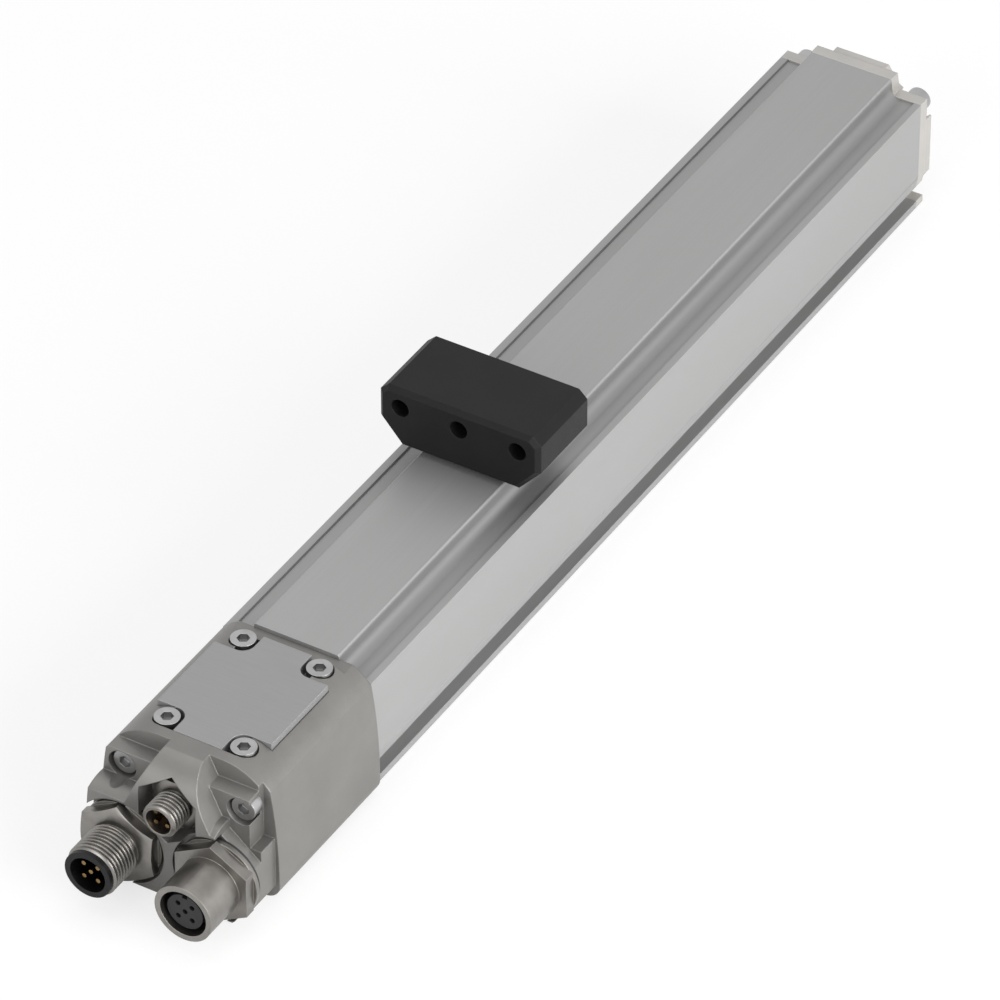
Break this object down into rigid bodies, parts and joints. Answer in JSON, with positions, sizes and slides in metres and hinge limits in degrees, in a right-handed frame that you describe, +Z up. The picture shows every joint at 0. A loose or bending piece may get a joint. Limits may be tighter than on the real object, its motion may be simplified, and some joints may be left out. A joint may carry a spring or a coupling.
{
  "type": "magnetostrictive position sensor",
  "caption": "Rectangular measuring profile with a connector head, an end cap and a floating position magnet that travels along the profile's platform.",
  "frame": {"origin": "middle of the measuring profile's base face", "axes": "+X along the profile from the connector head to the end cap, +Y to the left seen along +X, +Z up from the base face to the platform"},
  "size_m": [0.3005, 0.0414, 0.0484],
  "materials": {
    "profile_aluminium": "clear anodised extrusion",
    "head_casting": "blasted and coated casting",
    "cover_aluminium": "plain anodised plate",
    "screw_steel": "stainless",
    "nickel": "nickel plated brass",
    "contact_gold": "gold plated",
    "insert_black": "moulded",
    "insert_amber": "moulded",
    "seal_rubber": "moulded",
    "board_green": "laminate",
    "part_black": "moulded",
    "brass": "turned",
    "bobbin_white": "moulded",
    "copper": "enamelled copper",
    "magnet_metal": "sintered",
    "wire_alloy": "drawn",
    "carrier_grey": "extruded",
    "damper_grey": "moulded",
    "magnet_plastic": "moulded"
  },
  "bodies": {
    "sensor": {"profile_housing": "profile_aluminium", "connector_head": "head_casting", "head_seal": "seal_rubber", "cover_plate": "cover_aluminium", "cover_seal": "seal_rubber", "cover_screws": "screw_steel", "head_screws": "screw_steel", "plug_shell": "nickel", "plug_insert": "insert_black", "plug_pins": "contact_gold", "socket_shell": "nickel", "socket_insert": "insert_black", "socket_contacts": "contact_gold", "large_seal_rings": "seal_rubber", "small_shell": "nickel", "small_insert": "insert_amber", "small_pins": "contact_gold", "small_seal_ring": "seal_rubber", "connector_board": "board_green", "main_board": "board_green", "board_standoffs": "brass", "board_screws": "screw_steel", "board_header": "part_black", "board_components": "part_black", "coil_bobbin": "bobbin_white", "pickup_coil": "copper", "bias_magnet": "magnet_metal", "waveguide_clamp": "brass", "waveguide_wire": "wire_alloy", "waveguide_tube": "bobbin_white", "return_wire": "copper", "waveguide_carrier": "carrier_grey", "damping_element": "damper_grey", "end_cap": "head_casting", "end_cap_seal": "seal_rubber", "end_cap_washers": "screw_steel", "end_cap_screws": "screw_steel"},
    "position_magnet": {"magnet_housing": "magnet_plastic", "magnet_blocks": "magnet_metal", "magnet_lid": "magnet_plastic"}
  },
  "joints": [
    {"name": "magnet_travel", "type": "slide", "parent": "sensor", "child": "position_magnet", "axis": [1, 0, 0], "range_m": [-0.037, 0.113]}
  ]
}
